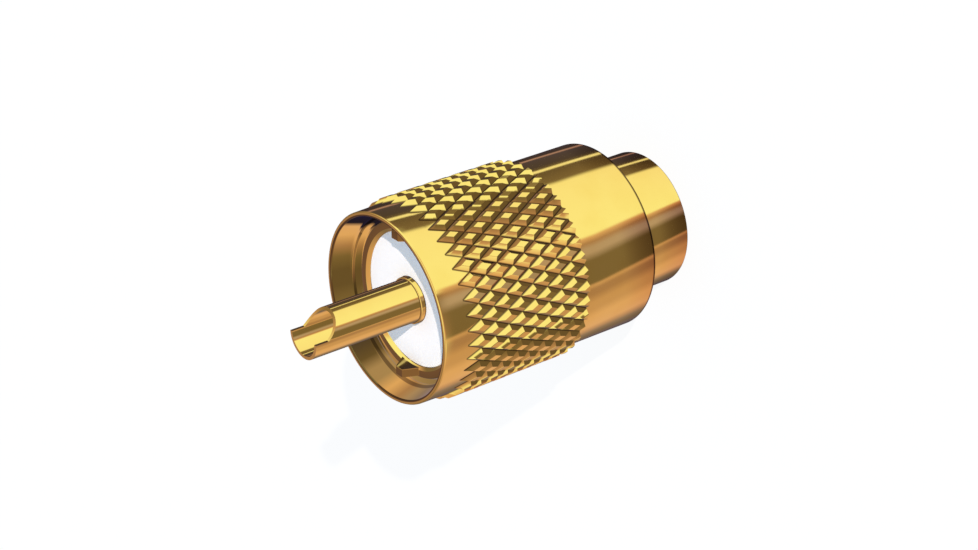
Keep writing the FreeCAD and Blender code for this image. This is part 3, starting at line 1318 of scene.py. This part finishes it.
class Tone(Enum):
    """What the cards and screens of the tent look like in metal, as linear colours."""

    WHITE = (1.0, 1.0, 1.0)
    CREAM = (0.98, 0.92, 0.92)
    HONEY = (0.75, 0.47, 0.50)
    AMBER = (0.60, 0.37, 0.40)
    COPPER = (0.42, 0.25, 0.29)
    FAWN = (0.40, 0.29, 0.37)
    LILAC = (0.48, 0.37, 0.60)
    MOUSE = (0.28, 0.21, 0.26)
    PLUM = (0.16, 0.12, 0.15)
    DUSK = (0.205, 0.15, 0.145)
    UMBER = (0.14, 0.10, 0.10)
    SMOKE = (0.08, 0.06, 0.10)
    COAL = (0.05, 0.035, 0.045)
    SOOT = (0.015, 0.012, 0.05)


AROUND = (
    (-180, Tone.COAL), (-158, Tone.PLUM), (-147, Tone.DUSK), (-138, Tone.MOUSE), (-127, Tone.AMBER),
    (-121, Tone.HONEY), (-102, Tone.HONEY), (-90, Tone.AMBER), (-79, Tone.AMBER), (-68, Tone.COPPER),
    (-61, Tone.COPPER), (-58, Tone.AMBER), (-56, Tone.AMBER), (-54, Tone.DUSK), (-27, Tone.DUSK),
    (-18, Tone.LILAC), (-13, Tone.LILAC), (-7, Tone.COPPER), (-1, Tone.HONEY), (1, Tone.WHITE),
    (74, Tone.CREAM), (79, Tone.DUSK), (100, Tone.UMBER), (101.5, Tone.CREAM), (105, Tone.CREAM),
    (106.5, Tone.UMBER), (113, Tone.SMOKE), (136, Tone.SMOKE), (138, Tone.COPPER), (141, Tone.COPPER),
    (144, Tone.COAL), (180, Tone.COAL),
)
ABOVE = (
    (-180, Tone.COPPER), (-150, Tone.DUSK), (-125, Tone.COPPER), (-100, Tone.AMBER), (-84, Tone.HONEY),
    (-60, Tone.CREAM), (-50, Tone.AMBER), (-38, Tone.COPPER), (-14, Tone.DUSK), (-5, Tone.DUSK),
    (-3, Tone.WHITE), (83, Tone.WHITE), (87, Tone.COPPER), (120, Tone.DUSK), (150, Tone.DUSK),
    (180, Tone.COPPER),
)
CROWN = (
    (-180, Tone.COPPER), (-150, Tone.DUSK), (-110, Tone.AMBER), (-40, Tone.HONEY), (45, Tone.HONEY),
    (58, Tone.WHITE), (105, Tone.WHITE), (125, Tone.AMBER), (150, Tone.DUSK), (180, Tone.COPPER),
)
# Painted reflection and painted shade for the ring's bore alone, by heading round the tent.
BORE_PAINTED_REFLECTION = (
    (-180, Tone.SOOT), (-142, Tone.SOOT), (-133, Tone.HONEY), (-116, Tone.HONEY), (-98, Tone.COPPER),
    (-82, Tone.DUSK), (-64, Tone.UMBER), (-45, Tone.UMBER), (-25, Tone.DUSK), (-4, Tone.UMBER),
    (25, Tone.SMOKE), (48, Tone.UMBER), (64, Tone.FAWN), (80, Tone.FAWN), (99, Tone.HONEY),
    (119, Tone.COPPER), (134, Tone.FAWN), (152, Tone.MOUSE), (180, Tone.MOUSE),
)


@dataclass
class Tent:
    """The tent that metal mirrors: screens and cards round the plug, seen by mirrored rays alone.

    Its cards hang in rows. The coupling ring's bore, the only surface that mirrors without any
    blur, sees a row of its own: a painted reflection, with painted shade, for the inside of the ring.

    Attributes:
        radius: of the tent, in metres.
        lean: how far the cards below the lean's height are turned, in turns for each unit of height.
        lean_from: the height, on a tent of radius 1, below which they are turned.
        deep_from: the height below which their tones get deeper.
        deepening: how much the gamma of the tones grows for each unit of height below that.
        top: the heights between which the upper cards take over.
        floor: the heights between which the lower screen takes over.
        crown: the heights between which the highest cards take over.
        zenith: the heights between which the white roof takes over.
        rows: the ball's faces from pole to pole.
        columns: its faces round.
    """

    radius: float = 0.6
    lean: float = 0.082
    lean_from: float = -0.5
    deep_from: float = -0.585
    deepening: float = 6.0
    top: tuple[float, float] = (-0.40, -0.24)
    floor: tuple[float, float] = (-0.82, -0.72)
    crown: tuple[float, float] = (0.2, 0.35)
    zenith: tuple[float, float] = (0.82, 0.92)
    rows: int = 32
    columns: int = 64

    @staticmethod
    def ramp(sheet: Sheet, turn: Wire, cards: tuple[tuple[float, Tone], ...]) -> Wire:
        """Cards round the tent, each a heading in degrees from the camera's side and a tone."""
        stops = [((heading + 180) / 360, tone.value) for heading, tone in cards]
        return sheet.wire("ShaderNodeValToRGB", {"stops": stops}, {0: turn})

    def material(self) -> bpy.types.Material:
        """The screens and cards, glowing in their tones.

        Returns:
            The material.
        """
        sheet = Sheet(bpy.data.materials.new("tent"))
        aim = sheet.wire("ShaderNodeVectorMath", {"operation": "NORMALIZE"}, {0: sheet.place()})
        x, y, z = sheet.parts(aim)
        turn = x.math("ARCTAN2", 0 - y) / TURN + 0.5
        leaning = turn + self.lean * (z - self.lean_from).math("MINIMUM", 0.0)
        deeper = 1 + self.deepening * (self.deep_from - z).math("MAXIMUM", 0.0)
        cards = sheet.wire("ShaderNodeGamma", inputs={0: self.ramp(sheet, leaning, AROUND), 1: deeper})
        colour = sheet.blend(z.step(*self.top), cards, self.ramp(sheet, turn, ABOVE))
        colour = sheet.blend(1 - z.step(*self.floor), colour, Tone.UMBER.value)
        colour = sheet.blend(z.step(*self.crown), colour, self.ramp(sheet, turn, CROWN))
        colour = sheet.blend(z.step(*self.zenith), colour, Tone.WHITE.value)
        # Mirrored rays without blur come only from the ring's bore and see its painted reflection row.
        sharp = sheet.wire("ShaderNodeLightPath", out="Is Singular Ray")
        made = sheet.finish(sheet.emit(sheet.blend(sharp, colour, self.ramp(sheet, turn, BORE_PAINTED_REFLECTION))))
        made.cycles.emission_sampling = "NONE"
        return made

    def build(self) -> None:
        """Makes the ball: each point is its direction times the radius. Only mirrored rays see it."""
        tilt = np.linspace(0, np.pi, self.rows + 1)[:, None]
        points = spun(np.sin(tilt), round_angles(self.columns), np.cos(tilt)) * self.radius
        made = placed("tent", grid(points, False, True).welded().mesh("tent"))
        made.data.materials.append(self.material())
        made.visible_camera = made.visible_diffuse = made.visible_transmission = False
        made.visible_shadow = made.visible_volume_scatter = False


@dataclass
class Studio:
    """Floor, lamp, surroundings and camera. Azimuths go from -Y towards +X.

    Attributes:
        floor_half: half of the floor's width, in metres.
        floor_gap: how far the floor lies under the plug, in millimetres.
        floor_tone: how pale the floor is under the lamp.
        shadow: how much of the floor's light comes from the lamp, and so shows the shadow.
        fill: the colour of the light from all round, for what isn't metal.
        key_power: the key lamp's strength, and the next four its colour, direction and width.
        lens: the camera's, in millimetres, as its sensor is.
        clip: the nearest and farthest that it sees, in metres.
        aim: the point that it looks at, and the next four from how far, from which direction and
            how far it is rolled.
    """

    floor_half: float = 1.5
    floor_gap: float = 0.02
    floor_tone: Colour = (0.9, 0.9, 0.9)
    shadow: float = 0.1
    fill: Colour = (0.62, 0.79, 1.0)
    key_power: float = 3.56
    key_colour: Colour = (1.0, 0.86, 0.75)
    key_azimuth: float = 10.5
    key_elevation: float = 26.5
    key_angle: float = 0.7
    lens: float = 85.05
    sensor: float = 36
    clip: tuple[float, float] = (0.01, 10)
    aim: tuple[float, float, float] = (-0.27, 0.0, 18.47)
    distance: float = 208.6
    azimuth: float = 0.088
    elevation: float = 32.84
    roll: float = -109.65

    @staticmethod
    def towards(azimuth: float, elevation: float) -> Vector:
        """The direction from the plug at an azimuth and an elevation, in degrees.

        Args:
            azimuth: the azimuth.
            elevation: the elevation.

        Returns:
            The direction, one unit long.
        """
        side, lift = np.radians(azimuth), np.radians(elevation)
        return Vector((np.sin(side) * np.cos(lift), -np.cos(side) * np.cos(lift), np.sin(lift)))

    @staticmethod
    def seen(sheet: Sheet) -> Wire:
        """Tells rays that look at a thing or mirror it from rays that gather its light.

        Args:
            sheet: the material's or the world's.

        Returns:
            1 for the first and 0 for the others.
        """
        path = sheet.node("ShaderNodeLightPath")
        camera, glossy, clear = (
            Wire(sheet, path.outputs[f"Is {kind} Ray"]) for kind in ("Camera", "Glossy", "Transmission")
        )
        return camera.math("MAXIMUM", glossy).math("MAXIMUM", clear)

    def floor(self) -> None:
        """Makes a pale floor that looks white and keeps the plug's shadow."""
        half, down = self.floor_half, -self.floor_gap * MM
        corners = [(-half, -half, down), (half, -half, down), (half, half, down), (-half, half, down)]
        made = placed("floor", Skin(np.array(corners), np.array([[0, 1, 2, 3]])).raw("floor"))
        made.visible_glossy = False
        sheet = Sheet(bpy.data.materials.new("pale_floor"))
        plain = sheet.node("ShaderNodeBsdfDiffuse", inputs={"Color": self.floor_tone})
        white = sheet.emit(Tone.WHITE.value)
        made.data.materials.append(sheet.finish(sheet.node("ShaderNodeMixShader", inputs={
            0: self.seen(sheet) * (1 - self.shadow), 1: plain.outputs[0], 2: white.outputs[0],
        })))

    def surroundings(self) -> None:
        """Makes the world: a white background, and soft light for what isn't metal."""
        sheet = Sheet(bpy.data.worlds.new("studio"))
        colour = sheet.blend(self.seen(sheet), self.fill, Tone.WHITE.value)
        back = sheet.node("ShaderNodeBackground", inputs={"Color": colour, "Strength": 1.0})
        bpy.context.scene.world = sheet.finish(back)

    def key(self) -> None:
        """Makes the key lamp, which throws the rim's and the pin's shadows on the insulator."""
        lamp = bpy.data.lights.new("key", "SUN")
        lamp.energy = self.key_power
        lamp.color = self.key_colour
        lamp.angle = np.radians(self.key_angle)
        made = placed("key", lamp)
        made.rotation_mode = "QUATERNION"
        towards = self.towards(self.key_azimuth, self.key_elevation)
        made.rotation_quaternion = towards.to_track_quat("Z", "Y")
        made.visible_glossy = False

    def camera(self) -> None:
        """Makes the camera, placed by its angles about the point that it looks at."""
        data = bpy.data.cameras.new("camera")
        data.lens, data.sensor_width = self.lens, self.sensor
        data.clip_start, data.clip_end = self.clip
        back = self.towards(self.azimuth, self.elevation)
        right = self.towards(self.azimuth + 90, 0)
        upright = Matrix((right, back.cross(right), back)).transposed()
        made = placed("camera", data)
        made.matrix_world = (
            Matrix.Translation(Vector(self.aim) * MM + back * self.distance * MM)
            @ upright.to_4x4() @ Matrix.Rotation(np.radians(self.roll), 4, "Z")
        )
        bpy.context.scene.camera = made

    def build(self) -> None:
        """Sets up the whole studio."""
        self.camera()
        self.floor()
        self.surroundings()
        self.key()
        Tent().build()
        bpy.context.scene.view_settings.view_transform = "Standard"


def gold_plate() -> bpy.types.Material:
    """The gold of all pieces but the ring, with painted shade at the seams, on the flange's face and on the
    tabs.

    Returns:
        The material.
    """
    nut_front, ring_rear, face = lowest("plug_body"), lowest("coupling_ring"), highest("front_insulator")
    barrel_r, pin_r = reach("plug_body"), CentrePin.pin_r
    tabs_foot, tabs_top = face + 0.35, face + 1.7
    # Painted shade: dark lines at the joints and the pin's shoulder and foot, and a darker flange face and
    # tabs.
    return Turned("gold", GOLD, GOLD_SHADE, roughness=0.07, marks=0.15, seams=(
        Seam(barrel_r, ring_rear, 0.12),
        Seam(reach("clamp_nut"), nut_front, 0.12),
        Seam(barrel_r, nut_front, 0.3),
        Seam(pin_r, face + CentrePin.shoulder, 0.05),
        Seam(pin_r + CentrePin.shank_step, face, 0.07),
    ), recesses=(
        Recess(6.62, 7.4, face + 0.2, tabs_foot, 0.7),
        Recess(6.42, 7.4, tabs_foot, tabs_top, 0.75),
        Recess(6.2, 6.42, tabs_foot, tabs_top, 0.5),
    )).material()


def ring_plate() -> bpy.types.Material:
    """The ring's gold, with painted shade in the knurl's valleys, at the rim's inner edge and on the bore's
    slope.

    Returns:
        The material.
    """
    front = highest("coupling_ring")
    rim_r = CouplingRing.band_r - CouplingRing.rim_width
    return Knurled(
        "gold_knurled", GOLD, GOLD_SHADE, roughness=0.07, marks=0.1, mirror_r=rim_r - 0.01,
        seams=(Seam(rim_r, front, 0.17),),
        recesses=(Recess(7.72, 7.88, front - 2.6, front - 1.77, 0.65),),
        front=front - CouplingRing.band_length,
    ).material()


def main() -> None:
    """Builds the plug and its studio."""
    logging.basicConfig(level=logging.INFO, format="%(name)s: %(message)s")
    gold, knurled = gold_plate(), ring_plate()
    wire = Turned("bronze_wire", (0.72, 0.52, 0.28), (0.6, 0.42, 0.22), roughness=0.25, marks=0.4)
    brass = Turned("plain_brass", (0.8, 0.62, 0.3), (0.7, 0.52, 0.24), roughness=0.22, marks=0.5)
    white = Moulded("white_insulator", (0.97, 0.97, 0.965), (0.93, 0.935, 0.94), roughness=0.42, grain=0.1)
    rubber = Moulded("gasket_rubber", (0.03, 0.03, 0.03), (0.045, 0.043, 0.04), roughness=0.62, grain=0.35)
    plastic = white.material()
    CouplingRing(knurled).build()
    PlugBody(gold).build()
    CentrePin(gold).build()
    FrontInsulator(plastic).build()
    CableEnd(gold, brass.material(), rubber.material(), plastic).build()
    SnapRing(wire.material()).build()
    Studio().build()


if __name__ == "__main__":
    main()
